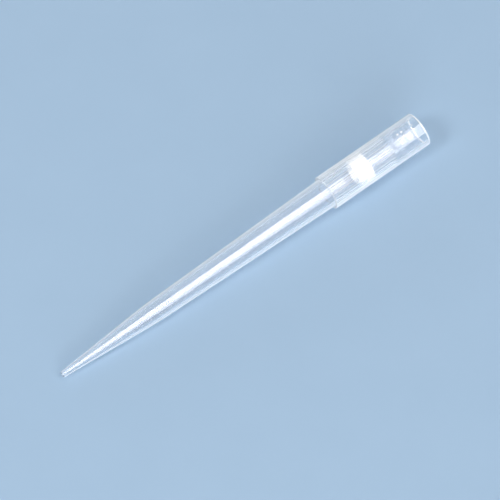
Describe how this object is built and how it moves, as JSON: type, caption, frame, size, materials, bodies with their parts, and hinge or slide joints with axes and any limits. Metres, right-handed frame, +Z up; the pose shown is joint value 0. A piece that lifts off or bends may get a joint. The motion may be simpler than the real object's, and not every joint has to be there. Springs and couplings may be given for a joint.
{
  "type": "filter pipette tip",
  "caption": "Long clear plastic pipette tip with two cones, a ribbed collar, an open nozzle socket and a white filter plug inside, lying as it comes to rest.",
  "frame": {"origin": "on the surface that the tip lies on, under the middle of its bounding box", "axes": "+X along the tip, from the orifice to the rim, in plan; +Z up; the tip's own axis rises 1.92 degrees towards the rim, because the part lies on its knee, 25 mm from the orifice, and on two ribs of the collar"},
  "size_m": [0.1022, 0.0086, 0.0094],
  "materials": {
    "clear_polypropylene": "clear, faintly milky, moulded gloss",
    "porous_polyethylene": "white, sintered, matt"
  },
  "bodies": {
    "root": {"tip_body": "clear_polypropylene", "filter_plug": "porous_polyethylene"}
  },
  "joints": []
}
